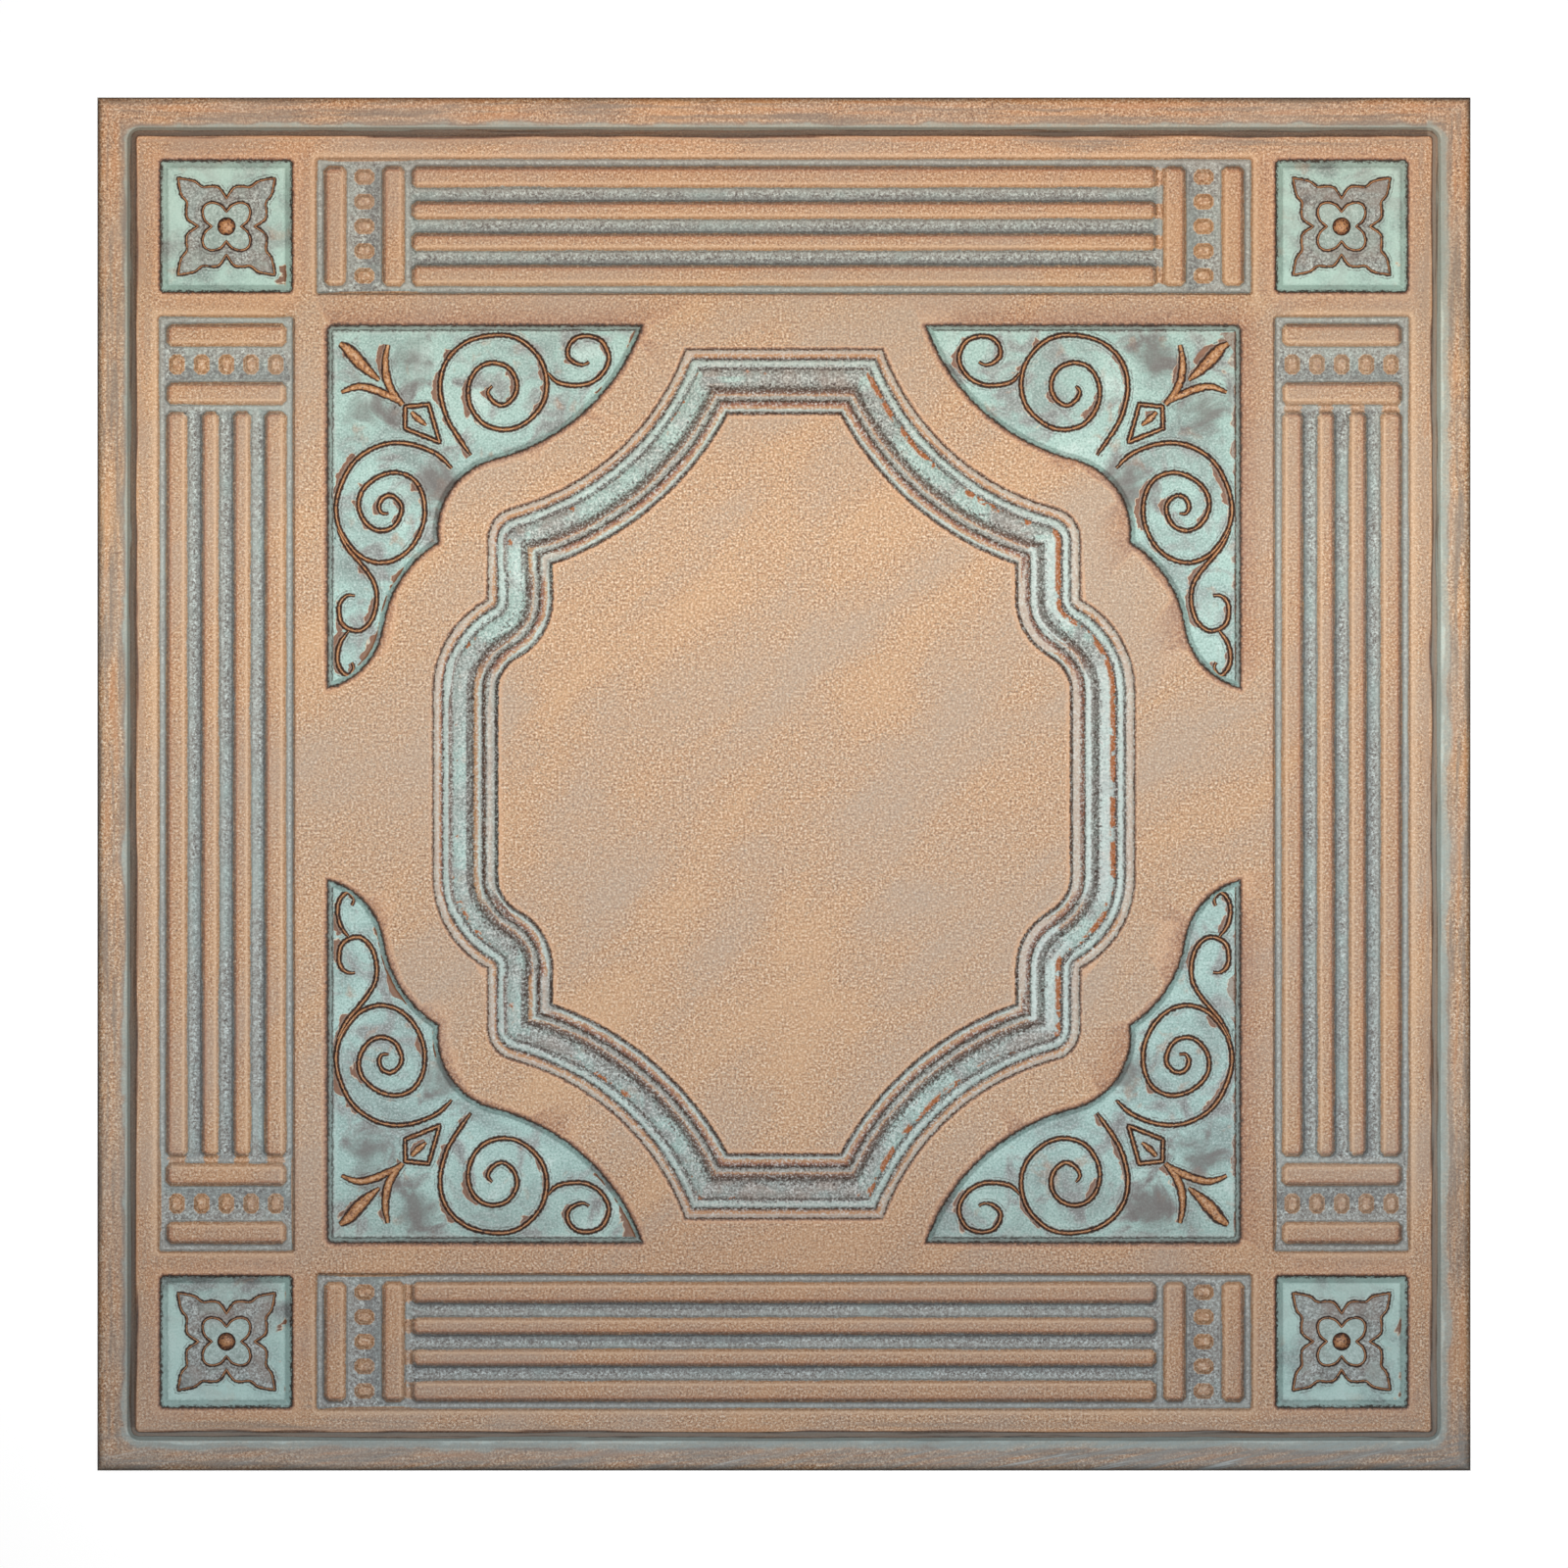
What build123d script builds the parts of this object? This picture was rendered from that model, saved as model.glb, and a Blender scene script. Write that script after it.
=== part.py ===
from build123d import *
import os
from math import radians, tan

# Faux tin ceiling tile: one thermoformed sheet, lying on its flange with the room face up (+Z).
# Sizes are in millimetres and drafts in degrees from the vertical. The origin is the middle of the
# flange's back. Outlines are drawn where each wall meets the level above it.

# Sheet, flange and raised panel
tile_side = 603.0  # a 24 in lay-in tile is made a little under its 610 mm grid
sheet_wall = 0.8
panel_side = 568.5
panel_corner = 1.5
face_height = 10.0  # field of the panel above the flange's back
step_draft = 25.0

# Border of square rosettes and fluted panels
border_centre = 244.8  # centre line of the border from the middle of the tile

# Rosette squares
rosette_side = 58.2
rosette_corner = 1.2
rosette_depth = 4.0
rosette_draft = 40.0

# Fluted panels: cross bars and a row of beads at each end, long bars between
flute_panel_length = 411.5
flute_panel_width = 60.3
flute_panel_corner = 1.0
flute_depth = 2.6
flute_draft = 28.0
border_groove = 4.6
cross_bar_width = 8.3
bead_bay = 17.3
cross_gap = 4.6
outer_bar_width = 8.0
inner_bar_width = 6.5
bar_corner = 1.5
bead_count = 5
bead_pitch = 10.85
bead_crown_length = 5.2
bead_crown_width = 3.2
bead_corner = 0.85
bead_draft = 38.0
bead_rise = 2.1

# Central frame: outer outline of one quarter, from the middle of the right side to the middle of the top
frame_half_height = 190.8
frame_half_width = 154.0
frame_top_half = 43.2
frame_scoop_sag = 15.5
frame_shoulder_y = 118.6
frame_shoulder_radius = 14.0
frame_neck_x = 130.0
frame_notch_y = 80.8
frame_lobe_y = 41.0

# Central frame: stepped moulding, with the cove at its bottom a little nearer to the outer edge
frame_width = 28.6
frame_step = 1.4
frame_step_draft = 48.0
outer_second_step = 4.2  # from the outer edge to the second step and to the cove
outer_cove = 8.4
inner_second_step = 5.4  # the same from the inner edge
inner_cove = 10.0
cove_depth = 1.5
cove_draft = 62.0

# Spandrels: outline of one, from its outer corner along the long side to the tip and back by the scoops
spandrel_edge_x = 200.4
spandrel_edge_y = 201.4
spandrel_corner = 3.0
spandrel_tip_x = 62.0
spandrel_scoop_end = (128.6, 141.9)
spandrel_scoop_sag = 11.5
spandrel_cusp = (151.6, 105.9)
spandrel_shoulder_sag = 7.9
spandrel_lobe_end = (175.7, 69.1)
spandrel_lobe_sag = 4.9
spandrel_tip_y = 42.0
spandrel_tip_sag = 5.6
spandrel_depth = 3.0
spandrel_draft = 38.0

touching = 0.001  # points this near are the same point


def lean(draft):
    # How far the back of a drafted wall stands from its face, seen from above, for each wall thickness
    return tan(radians(45 - draft / 2))


def sunk(rim, top, depth, draft, wall):
    # Hollow below a rim at height top, narrower below; with a wall, its form on the back of the sheet
    if wall:
        rim = offset(rim, amount=wall * lean(draft), kind=Kind.INTERSECTION)
    return Pos(0, 0, top - wall) * mirror(extrude(rim, amount=depth, taper=draft), Plane.XY)


def standing(crown, top, height, draft, wall):
    # Form that stands up to a crown at height top, wider below; with a wall, its form on the back
    spread = height * tan(radians(draft)) - wall * lean(draft)
    foot = offset(crown, amount=spread, kind=Kind.INTERSECTION)
    return Pos(0, 0, top - wall - height) * extrude(foot, amount=height, taper=draft)


def clipped(length, width, corner):
    # Rectangle with its corners cut off
    return chamfer(Rectangle(length, width).vertices(), corner)


def four_ways(quarter):
    # The pattern is mirrored left to right and top to bottom.
    half = quarter + mirror(quarter, Plane.YZ)
    return half + mirror(half, Plane.XZ)


def raised_panel(wall):
    outline = RectangleRounded(panel_side, panel_side, panel_corner)
    return standing(outline, face_height, face_height, step_draft, wall)


def rosette_pockets(wall):
    outline = clipped(rosette_side, rosette_side, rosette_corner)
    pocket = sunk(outline, face_height, rosette_depth, rosette_draft, wall)
    ends = (-border_centre, border_centre)
    return [Pos(x, y) * pocket for x in ends for y in ends]


def fluted_grooves(wall):
    # What is sunk round the bars of one fluted panel, with its length along X
    half_length = flute_panel_length / 2 - border_groove
    half_width = flute_panel_width / 2 - border_groove
    cross_bar = clipped(cross_bar_width, 2 * half_width, bar_corner)
    end_bar_x = half_length - cross_bar_width / 2
    second_bar_x = end_bar_x - cross_bar_width - bead_bay
    bars = [Pos(x) * cross_bar for x in (-end_bar_x, -second_bar_x, second_bar_x, end_bar_x)]
    bar_length = 2 * (second_bar_x - cross_bar_width / 2 - cross_gap)
    outer_bar = clipped(bar_length, outer_bar_width, bar_corner)
    inner_bar = clipped(bar_length, inner_bar_width, bar_corner)
    outer_bar_y = half_width - outer_bar_width / 2
    flute_width = 2 * (half_width - outer_bar_width - inner_bar_width) / 3
    inner_bar_y = (flute_width + inner_bar_width) / 2
    bars += [Pos(0, y) * outer_bar for y in (-outer_bar_y, outer_bar_y)]
    bars += [Pos(0, y) * inner_bar for y in (-inner_bar_y, inner_bar_y)]
    outline = clipped(flute_panel_length, flute_panel_width, flute_panel_corner)
    hollow = sunk(outline, face_height, flute_depth, flute_draft, wall)
    return hollow - [standing(bar, face_height, flute_depth, flute_draft, wall) for bar in bars]


def beads(wall):
    # Oval beads of one fluted panel, standing on the floor between the cross bars
    crown = clipped(bead_crown_length, bead_crown_width, bead_corner)
    bead = standing(crown, face_height - flute_depth + bead_rise, bead_rise, bead_draft, wall)
    row_x = flute_panel_length / 2 - border_groove - cross_bar_width - bead_bay / 2
    first_y = -bead_pitch * (bead_count - 1) / 2
    return [
        Pos(x, first_y + bead_pitch * number) * bead
        for x in (-row_x, row_x)
        for number in range(bead_count)
    ]


def round_the_border(shapes):
    # One fluted panel's shapes, set on the four sides
    placed = []
    for side in range(4):
        placed += [Rot(0, 0, 90 * side) * Pos(0, border_centre) * shape for shape in shapes]
    return placed


def frame_outline():
    top_end = (frame_top_half, frame_half_height)
    shoulder = (frame_neck_x, frame_shoulder_y)
    notch = (frame_neck_x, frame_notch_y)
    lobe_end = (frame_half_width, frame_lobe_y)
    quarter = Line((frame_half_width, 0), lobe_end)
    quarter += TangentArc(lobe_end, notch, tangent=(0, 1))
    quarter += Line(notch, shoulder)
    quarter += SagittaArc(shoulder, top_end, frame_scoop_sag)
    quarter += Line(top_end, (0, frame_half_height))
    outline = make_face(four_ways(quarter))
    shoulders = [v for v in outline.vertices() if abs(abs(v.Y) - frame_shoulder_y) < touching]
    return fillet(shoulders, frame_shoulder_radius)


def frame_channel(wall):
    # Two steps down to the cove from the outer edge, and the same two up again to the central field
    outline = frame_outline()
    levels = [
        (0, 0, face_height, frame_step, frame_step_draft),
        (outer_second_step, inner_second_step, face_height - frame_step, frame_step, frame_step_draft),
        (outer_cove, inner_cove, face_height - 2 * frame_step, cove_depth, cove_draft),
    ]
    hollows = []
    islands = []
    for from_outer, from_inner, top, drop, draft in levels:
        outer = offset(outline, amount=-from_outer, kind=Kind.ARC) if from_outer else outline
        inner = offset(outline, amount=from_inner - frame_width, kind=Kind.ARC)
        hollows.append(sunk(outer, top, drop, draft, wall))
        islands.append(standing(inner, top, drop, draft, wall))
    return (hollows[0] + hollows[1:]) - islands


def spandrel_pockets(wall):
    corner = (spandrel_edge_x, spandrel_edge_y)
    long_tip = (spandrel_tip_x, spandrel_edge_y)
    short_tip = (spandrel_edge_x, spandrel_tip_y)
    edge = Line(corner, long_tip)
    edge += SagittaArc(long_tip, spandrel_scoop_end, -spandrel_scoop_sag)
    edge += SagittaArc(spandrel_scoop_end, spandrel_cusp, spandrel_shoulder_sag)
    edge += SagittaArc(spandrel_cusp, spandrel_lobe_end, spandrel_lobe_sag)
    edge += SagittaArc(spandrel_lobe_end, short_tip, -spandrel_tip_sag)
    edge += Line(short_tip, corner)
    outline = make_face(edge)
    outer_corner = outline.vertices().sort_by_distance(corner)[0]
    outline = fillet(outer_corner, spandrel_corner)
    pocket = sunk(outline, face_height, spandrel_depth, spandrel_draft, wall)
    half = [pocket, mirror(pocket, Plane.YZ)]
    return half + [mirror(shape, Plane.XZ) for shape in half]


def formed_face(wall):
    # Everything below the face of the sheet, or with its wall, everything below its back
    solid = raised_panel(wall) - rosette_pockets(wall)
    solid -= round_the_border([fluted_grooves(wall)])
    solid -= spandrel_pockets(wall)
    solid -= frame_channel(wall)
    return solid + round_the_border(beads(wall))


flange = Pos(0, 0, sheet_wall / 2) * Box(tile_side, tile_side, sheet_wall)
ceiling_tile = flange + formed_face(0) - formed_face(sheet_wall)

os.makedirs("parts", exist_ok=True)
export_step(ceiling_tile, "parts/ceiling_tile.step")
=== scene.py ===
import math

import bmesh
import bpy
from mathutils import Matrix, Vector
from mathutils.kdtree import KDTree


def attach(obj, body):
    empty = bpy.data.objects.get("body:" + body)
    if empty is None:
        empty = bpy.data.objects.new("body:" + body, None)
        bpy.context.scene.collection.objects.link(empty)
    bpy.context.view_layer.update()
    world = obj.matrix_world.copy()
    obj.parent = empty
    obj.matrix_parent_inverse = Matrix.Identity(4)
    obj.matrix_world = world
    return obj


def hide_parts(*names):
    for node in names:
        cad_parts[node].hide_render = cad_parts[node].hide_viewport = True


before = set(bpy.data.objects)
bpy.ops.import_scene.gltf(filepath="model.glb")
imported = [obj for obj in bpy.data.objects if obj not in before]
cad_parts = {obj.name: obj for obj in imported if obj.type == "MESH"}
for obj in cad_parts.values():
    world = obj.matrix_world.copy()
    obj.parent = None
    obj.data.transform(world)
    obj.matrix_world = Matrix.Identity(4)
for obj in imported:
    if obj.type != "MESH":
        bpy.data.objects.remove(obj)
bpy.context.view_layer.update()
mm = 0.001


# Levels and outlines of the sheet, in millimetres, as the part has them
sheet = {
    "face": 10.0,
    "flange": 0.8,
    "borderCentre": 244.8,
    "rosetteHalf": 29.1,
    "rosetteFloor": 6.0,
    "fluteHalfLength": 205.75,
    "fluteHalfWidth": 30.15,
    "beadRow": 184.2,  # from the middle of a fluted panel to its row of beads
    "beadReach": 6.8,
    "barsEnd": 163.0,
    "gap": 165.0,  # from the middle of a fluted panel to the gap past the ends of its bars
    "barRows": [(6.9, 3.0), (21.5, 3.8)],  # from the middle line of the panel to its bars, and half widths
    "outerBars": 20.0,  # bars further out than this stand by the narrow border groove
    "fluteFloor": 7.4,
    "copperFrom": {"flute": 8.75, "groove": 8.3},  # copper paint begins at these heights
    "panelHalf": 284.25,
    "tileHalf": 301.5,
    "paleFrom": 282.0,  # the right and bottom steps are paler, from here out
    "sweptFrom": 284.0,  # slanting strokes on the bottom flange, from here out
    "spandrelCorner": (200.4, 201.4),
    "spandrelFloor": 7.0,
    "bays": [(38, 15), (17, 37), (50, 72)],  # inward and down from the corner to the dirtiest spots
    "bayDirt": (14.0, 3.0),  # the dirt begins and is full at these distances from a spot
    "bayRagged": 50.0,
    "mouldingWidth": 28.6,
    "near": 3.5,  # a region's paint reaches this far past its rim
    "rosetteFrom": 208.0,  # what is further out than this along X and Y is a rosette
    "rosetteHalo": 1.6,  # paint at a rosette's rim is narrower than at others, and wider on its wall
    "rosetteWall": 0.7,
    "onFace": 0.12,  # what is less than this below the face counts as on it
    "noMoulding": -60.0,  # stands for the distance across the moulding where there is none
    "edgeRound": 0.4,  # radius of the formed edges
    "barRound": 1.1,  # softer edges of the bars
    "crease": 20.0,  # edges that turn more than this many degrees are rounded
    "upward": 0.02,  # faces whose normals rise more than this are on the front
    "rimStep": 0.5,  # between the points along a rim
    "wellInside": 2.0,  # edges this far inside a fluted panel belong to its bars
    "rings": {"face": (0.9, 0.9), "wide": (1.6,), "floor": (0.5, 0.8), "flange": (3.0,)},
    "merge": 0.3,  # corners of the rings nearer than this are joined
    "grid": 24.0,  # the faces are cut at these steps, to keep them short
    "gridShift": 0.37,  # share of a step that keeps the cuts off the middle lines
}

# Runs in the plain field between the central moulding and the spandrels, one quarter
betweenThem = [
    (48, 196), (60, 172), (82, 149), (110, 134), (137, 126),
    (138, 86), (160, 45), (160, 0), (0, 0), (0, 196),
]


def inside(point, corners):
    x, y = point
    odd = False
    for (x1, y1), (x2, y2) in zip(corners, corners[1:] + corners[:1]):
        if (y1 > y) != (y2 > y) and x < (x2 - x1) * (y - y1) / (y2 - y1) + x1:
            odd = not odd
    return odd


def regionAt(x, y):
    ax, ay = abs(x), abs(y)
    near = sheet["near"]
    if max(ax, ay) > sheet["panelHalf"] - near:
        return "step"
    longWay, shortWay = sheet["fluteHalfLength"] + near, sheet["fluteHalfWidth"] + near
    for along, across in ((ax, ay), (ay, ax)):
        if along < longWay and abs(across - sheet["borderCentre"]) < shortWay:
            return "flutes"
    if min(ax, ay) > sheet["borderCentre"] - sheet["rosetteHalf"] - near:
        return "rosette"
    if inside((ax, ay), betweenThem):
        return "moulding"
    return "spandrel"


# Paint

# Mottling: its grain in millimetres, then detail, roughness and bend of the noise
mottles = {
    "grain": (1.0, 2.0, 0.7, 0.0),
    "fine": (0.7, 1.0, 0.5, 0.0),
    "speck": (1.4, 2.0, 0.65, 0.0),
    "broken": (5.0, 3.0, 0.6, 0.0),
    "patch": (12.0, 3.0, 0.55, 0.4),
    "smudge": (17.0, 4.0, 0.55, 0.8),
    "smear": (26.0, 5.0, 0.6, 0.5),
    "cloud": (40.0, 4.0, 0.55, 0.4),
    "strokesX": (3.0, 3.0, 0.6, 0.3),
    "strokesY": (3.0, 3.0, 0.6, 0.3),
    "sweeps": (2.4, 3.0, 0.65, 0.2),
}

# Mottling drawn out by the brush: how much longer along X and Y, and its turn in degrees
brushed = {
    "cloud": (2.6, 1.0, 40.0),
    "strokesX": (16.0, 1.0, 0.0),
    "strokesY": (1.0, 16.0, 0.0),
    "sweeps": (22.0, 1.0, 12.0),
}

# Paints of the finish: copper, what is left of the verdigris, and the glazes brushed over them; the
# brightest copper is a painted highlight on the rims, and the darkest brown is partly painted shade
paints = {
    "copperHighlight": "#E6B48A",
    "copper": "#C8915F",
    "rust": "#99593A",
    "orangeRust": "#B3672F",
    "brownGlaze": "#74482F",
    "shadeAndDarkGlaze": "#39251B",
    "soot": "#5C524B",
    "stone": "#8B857D",
    "ash": "#ABA89D",
    "bone": "#D2BCA7",
    "greyVerdigris": "#A9B7AF",
    "paleVerdigris": "#C8D7CD",
    "whiteVerdigris": "#DDEAE2",
}

# Bands across the rim of a rosette or spandrel: millimetres into the hollow, paint, cover. A painted
# highlight on the face, then a brown glaze and a dark line at the rim that is partly painted shade
rimBands = [
    (-3.0, "copperHighlight", 0.0),
    (-2.2, "copperHighlight", 0.45),
    (-1.4, "rust", 0.4),
    (-0.6, "brownGlaze", 0.85),
    (-0.1, "shadeAndDarkGlaze", 0.97),
    (0.35, "shadeAndDarkGlaze", 0.9),
    (0.75, "soot", 0.3),
    (1.0, "soot", 0.0),
]
# Bands down the wall below the rim: grey and verdigris, with a dark line at its foot that is partly painted
# shade
wallBands = [
    (0.3, "stone", 0.0),
    (0.7, "stone", 0.8),
    (1.6, "greyVerdigris", 0.7),
    (1.95, "soot", 0.75),
    (2.35, "shadeAndDarkGlaze", 0.85),
    (2.8, "stone", 0.3),
    (3.3, "paleVerdigris", 0.4),
    (4.6, "paleVerdigris", 0.0),
]

# Bands across the central moulding, from its outer rim: left uprights, right uprights, diagonals and ends
# Pale bands on steps that face the middle, where the lamp is, are partly painted highlight, dark lines on
# steps facing away partly painted shade
leftBands = [
    (-2.2, "copperHighlight", 0.0),
    (-1.0, "copperHighlight", 0.4),
    (-0.5, "brownGlaze", 0.8),
    (0.2, "shadeAndDarkGlaze", 0.9),
    (0.8, "bone", 0.9),
    (2.4, "bone", 0.9),
    (2.9, "copper", 0.95),
    (3.6, "rust", 0.9),
    (4.2, "shadeAndDarkGlaze", 0.95),
    (4.9, "paleVerdigris", 0.9),
    (6.3, "paleVerdigris", 0.75),
    (7.1, "brownGlaze", 0.8),
    (8.4, "stone", 0.85),
    (9.2, "paleVerdigris", 0.35),
    (13.8, "paleVerdigris", 0.2),
    (14.8, "soot", 0.9),
    (16.2, "stone", 0.85),
    (17.4, "soot", 0.95),
    (18.3, "copper", 0.95),
    (19.3, "copper", 0.8),
    (20.2, "paleVerdigris", 0.8),
    (21.2, "stone", 0.9),
    (21.8, "shadeAndDarkGlaze", 0.97),
    (22.7, "brownGlaze", 0.95),
    (23.6, "ash", 0.8),
    (24.4, "bone", 0.9),
    (26.6, "ash", 0.9),
    (27.4, "shadeAndDarkGlaze", 0.9),
    (28.4, "shadeAndDarkGlaze", 0.9),
    (29.0, "copperHighlight", 0.8),
    (31.0, "copperHighlight", 0.0),
]
rightBands = [
    (-2.0, "copperHighlight", 0.0),
    (-1.0, "copperHighlight", 0.4),
    (-0.5, "brownGlaze", 0.8),
    (0.3, "shadeAndDarkGlaze", 0.9),
    (0.9, "bone", 0.9),
    (3.6, "bone", 0.9),
    (4.1, "shadeAndDarkGlaze", 0.9),
    (4.9, "stone", 0.85),
    (5.5, "whiteVerdigris", 0.85),
    (7.3, "paleVerdigris", 0.85),
    (7.7, "shadeAndDarkGlaze", 0.97),
    (8.5, "shadeAndDarkGlaze", 0.95),
    (9.0, "stone", 0.7),
    (9.8, "whiteVerdigris", 0.6),
    (15.0, "whiteVerdigris", 0.6),
    (15.8, "soot", 0.75),
    (18.8, "stone", 0.8),
    (19.6, "whiteVerdigris", 0.85),
    (21.3, "paleVerdigris", 0.85),
    (21.9, "shadeAndDarkGlaze", 0.9),
    (22.6, "rust", 0.85),
    (23.8, "rust", 0.7),
    (24.4, "bone", 0.9),
    (26.8, "bone", 0.9),
    (27.4, "shadeAndDarkGlaze", 0.9),
    (28.3, "brownGlaze", 0.95),
    (28.9, "copperHighlight", 0.7),
    (31.0, "copperHighlight", 0.0),
]
endBands = [
    (-2.4, "copperHighlight", 0.0),
    (-1.2, "copperHighlight", 0.7),
    (-0.6, "brownGlaze", 0.9),
    (0.3, "shadeAndDarkGlaze", 0.97),
    (0.8, "bone", 0.9),
    (1.9, "bone", 0.9),
    (2.3, "copper", 0.95),
    (3.3, "copper", 0.95),
    (4.0, "brownGlaze", 0.95),
    (4.5, "shadeAndDarkGlaze", 0.9),
    (5.6, "paleVerdigris", 0.8),
    (7.5, "paleVerdigris", 0.7),
    (8.2, "shadeAndDarkGlaze", 0.8),
    (9.0, "soot", 0.8),
    (9.6, "ash", 0.2),
    (15.8, "ash", 0.2),
    (16.8, "soot", 0.85),
    (19.4, "brownGlaze", 0.95),
    (20.0, "copper", 0.9),
    (20.8, "ash", 0.9),
    (22.0, "ash", 0.9),
    (22.6, "shadeAndDarkGlaze", 0.95),
    (23.4, "brownGlaze", 0.95),
    (24.4, "rust", 0.95),
    (25.2, "copper", 0.95),
    (26.0, "copper", 0.7),
    (26.5, "paleVerdigris", 0.85),
    (27.4, "ash", 0.9),
    (27.9, "shadeAndDarkGlaze", 0.95),
    (28.8, "brownGlaze", 0.9),
    (29.4, "copperHighlight", 0.6),
    (31.0, "copperHighlight", 0.0),
]

# Dark specks in the corners of the moulding, and flakes on the wall of its cove
speckPlaces = [
    (-0.4, 0.0), (0.2, 0.8), (0.7, 0.0), (2.8, 0.1), (3.6, 0.8), (4.6, 0.8),
    (5.2, 0.1), (6.6, 0.3), (7.2, 0.9), (8.6, 0.8), (9.6, 0.1), (14.0, 0.2),
    (14.8, 0.9), (17.6, 0.9), (18.4, 0.2), (20.6, 0.2), (21.6, 0.9), (23.4, 0.8),
    (24.2, 0.1), (26.8, 0.2), (27.4, 0.9), (28.5, 0.9), (28.9, 0.0),
]
speckBands = [(at, "shadeAndDarkGlaze", cover) for at, cover in speckPlaces]
coveFlakes = [
    (8.4, "orangeRust", 0.0),
    (8.7, "orangeRust", 0.95),
    (10.4, "orangeRust", 0.95),
    (10.8, "bone", 0.7),
    (11.3, "bone", 0.0),
]

# Bands across the step, outward from the rim; the right and bottom sides are paler
# A painted highlight at the rim, and a dark band on the wall that is partly painted shade
stepBands = [
    (-1.6, "copperHighlight", 0.0),
    (-0.7, "copperHighlight", 0.5),
    (-0.2, "brownGlaze", 0.9),
    (0.3, "shadeAndDarkGlaze", 0.95),
    (0.8, "soot", 0.75),
    (2.2, "stone", 0.9),
    (2.6, "shadeAndDarkGlaze", 0.85),
    (3.0, "greyVerdigris", 0.9),
    (5.0, "greyVerdigris", 0.9),
    (6.0, "stone", 0.7),
    (7.0, "ash", 0.2),
    (9.5, "ash", 0.0),
]
paleStepBands = [
    (-1.6, "copperHighlight", 0.0),
    (-0.7, "copperHighlight", 0.4),
    (-0.2, "brownGlaze", 0.9),
    (0.3, "shadeAndDarkGlaze", 0.9),
    (0.8, "ash", 0.9),
    (2.1, "bone", 0.8),
    (2.5, "soot", 0.8),
    (2.9, "paleVerdigris", 0.9),
    (4.4, "paleVerdigris", 0.95),
    (5.0, "greyVerdigris", 0.9),
    (7.4, "greyVerdigris", 0.7),
    (8.4, "ash", 0.25),
    (11.0, "ash", 0.0),
]

# Bands across a ridge of the relief: share of its half width inward, then millimetres beyond its foot
# The dark beside a crest, and round the foot of the ball, is partly painted shade
ridgeBands = [
    (-1.0, "copper", 1.0),
    (-0.82, "copper", 1.0),
    (-0.64, "brownGlaze", 1.0),
    (-0.38, "shadeAndDarkGlaze", 1.0),
    (0.1, "shadeAndDarkGlaze", 0.95),
    (0.42, "stone", 0.5),
    (0.75, "paleVerdigris", 0.0),
]
# A thin dark line past the foot of a ridge, partly painted shade
traceBands = [
    (0.9, "soot", 0.0),
    (1.25, "shadeAndDarkGlaze", 0.75),
    (1.6, "soot", 0.0),
]

# Painted shade and a tint over the whole finish, from the bottom edge to the top one: darker and bluer at
# the bottom, warmer at the top; millimetres from the middle
bottomShadeAndTint = [
    (-300, "#C5C9D2", 1.0),
    (-205, "#D0CFD3", 1.0),
    (-150, "#E2E5EB", 1.0),
    (0, "#F1F2F5", 1.0),
    (110, "#FFFFFF", 1.0),
    (185, "#F8F5F2", 1.0),
    (215, "#F1EDE8", 1.0),
    (300, "#F6EAE3", 1.0),
]

# What the paint reads from the meshes
sheetLayers = ("edge", "lit", "side", "ends", "across", "start", "flutes", "hollow", "moulding", "step")
reliefLayers = ("off", "flake", "plate")


def linear(paint):
    code = paints.get(paint, paint)
    values = [int(code[i : i + 2], 16) / 255 for i in (1, 3, 5)]
    return [v / 12.92 if v <= 0.04045 else ((v + 0.055) / 1.055) ** 2.4 for v in values] + [1.0]


def addNode(tree, kind, links=None, out=0, **settings):
    node = tree.nodes.new("ShaderNode" + kind)
    for name, value in settings.items():
        setattr(node, name, value)
    for name, value in (links or {}).items():
        if isinstance(value, bpy.types.NodeSocket):
            tree.links.new(value, node.inputs[name])
        else:
            node.inputs[name].default_value = value
    return node.outputs[out]


def coat(tree, below, mask, low, high, above, most=1.0, blend="MIX"):
    # One coat of paint, laid on where the mask goes from low to high
    above = linear(above) if isinstance(above, str) else above
    cover = addNode(tree, "MapRange", {"Value": mask, "From Min": low, "From Max": high, "To Max": most})
    return addNode(tree, "Mix", {0: cover, 6: below, 7: above}, 2, data_type="RGBA", blend_type=blend)


def bandsOver(tree, below, across, bands, bandCover=1.0, blend="MIX"):
    # Bands of paint side by side, each with its place, colour and cover
    low, high = bands[0][0], bands[-1][0]
    share = addNode(tree, "MapRange", {"Value": across, "From Min": low, "From Max": high})
    ramp = addNode(tree, "ValToRGB", {"Fac": share}).node
    elements = ramp.color_ramp.elements
    for index, (at, paint, strength) in enumerate(bands):
        place = (at - low) / (high - low)
        element = elements[index] if index < 2 else elements.new(place)
        element.position = place
        element.color = linear(paint)[:3] + [strength]
    cover = addNode(tree, "Math", {0: ramp.outputs["Alpha"], 1: bandCover}, operation="MULTIPLY")
    links = {0: cover, 6: below, 7: ramp.outputs["Color"]}
    return addNode(tree, "Mix", links, 2, data_type="RGBA", blend_type=blend)


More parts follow.
